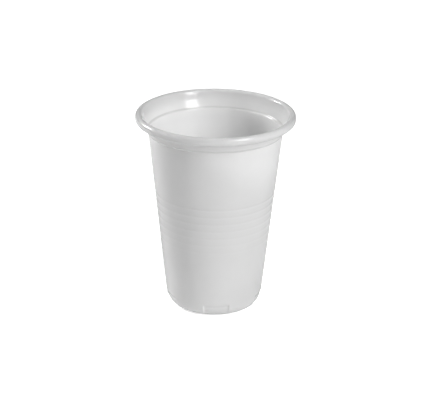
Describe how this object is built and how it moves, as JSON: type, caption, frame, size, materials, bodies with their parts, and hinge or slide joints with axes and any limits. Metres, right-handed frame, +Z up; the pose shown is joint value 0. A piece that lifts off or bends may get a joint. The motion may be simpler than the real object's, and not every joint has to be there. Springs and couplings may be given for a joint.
{
  "type": "plastic cup",
  "caption": "Tapered thin-walled drinking cup, open at the top, with a rolled rim, a stacking shoulder, shallow grip grooves and a notched base corner.",
  "frame": {"origin": "centre of the foot ring, on the surface that the cup stands on", "axes": "+Z up along the cup's axis, from the foot to the mouth; -Y towards the viewer of the picture"},
  "size_m": [0.07, 0.07, 0.089],
  "materials": {
    "cup_plastic": "white thermoformed polypropylene, slightly see-through to light, soft gloss"
  },
  "bodies": {
    "root": {"cup": "cup_plastic"}
  },
  "joints": []
}
